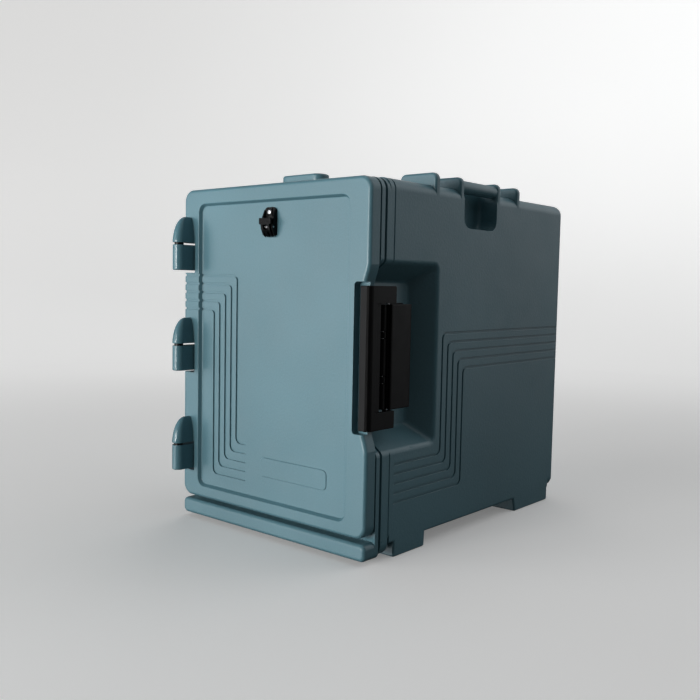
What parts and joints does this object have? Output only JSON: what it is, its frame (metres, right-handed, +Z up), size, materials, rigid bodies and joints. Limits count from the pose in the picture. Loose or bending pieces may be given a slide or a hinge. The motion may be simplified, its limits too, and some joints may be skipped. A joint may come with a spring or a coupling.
{
  "type": "insulated food carrier",
  "caption": "Front-loading insulated food-pan carrier: foam-filled double-wall box with a side-hung lift-off door, over-centre latch, moulded handles, stacking ribs and pan rails.",
  "frame": {"origin": "middle of the overall footprint at floor level, under the feet", "axes": "+Z up, the door faces -Y, hinges on -X, latch on +X"},
  "size_m": [0.45, 0.6806, 0.6385],
  "materials": {
    "shell": "slate blue moulded polyethylene, fine orange-peel grain, satin",
    "foam": "rigid polyurethane foam core",
    "plug": "slate blue moulded plug",
    "bearing_plastic": "black acetal",
    "steel": "stainless, brushed",
    "bright_steel": "bright zinc",
    "insert_brass": "turned",
    "latch_plastic": "black glass-filled nylon, satin",
    "gasket": "black sealing rubber",
    "clip_plastic": "black moulded, glossy"
  },
  "bodies": {
    "carrier": {"body_shell": "shell", "body_foam": "foam", "body_fill_plug": "plug", "hinge_arm_bottom": "shell", "hinge_arm_middle": "shell", "hinge_arm_top": "shell", "hinge_pins": "steel", "hinge_washers": "bearing_plastic", "hinge_arm_screws": "steel", "hinge_inserts": "insert_brass", "latch_base": "latch_plastic", "latch_base_screws": "steel", "latch_inserts": "insert_brass", "latch_lever_pin": "steel"},
    "door": {"door_shell": "shell", "door_foam": "foam", "door_fill_plug": "plug", "door_gasket": "gasket", "hinge_bushings": "bearing_plastic", "clip_base": "clip_plastic", "clip_screw": "bright_steel", "clip_pin": "steel", "clip_spring": "steel"},
    "card_clip_jaw": {"clip_jaw": "clip_plastic"},
    "latch_lever": {"latch_lever": "latch_plastic"},
    "latch_hook": {"latch_hook": "latch_plastic", "latch_hook_pin": "steel"}
  },
  "joints": [
    {"name": "door_hinge", "type": "hinge", "parent": "carrier", "child": "door", "pos_m": [-0.2073, -0.32855, 0.33], "axis": [0, 0, -1], "range_deg": [0, 265]},
    {"name": "lever_pivot", "type": "hinge", "parent": "carrier", "child": "latch_lever", "pos_m": [0.213, -0.25255, 0.332], "axis": [0, 0, -1], "range_deg": [0, 110]},
    {"name": "hook_pivot", "type": "hinge", "parent": "latch_lever", "child": "latch_hook", "pos_m": [0.212, -0.23855, 0.332], "axis": [0, 0, 1], "range_deg": [0, 132]},
    {"name": "clip_pivot", "type": "hinge", "parent": "door", "child": "card_clip_jaw", "pos_m": [0.001, -0.30405, 0.542], "axis": [-1, 0, 0], "range_deg": [0, 14]}
  ],
  "couplings": [
    {"joint": "hook_pivot", "follows": "lever_pivot", "ratio": 1.2}
  ]
}
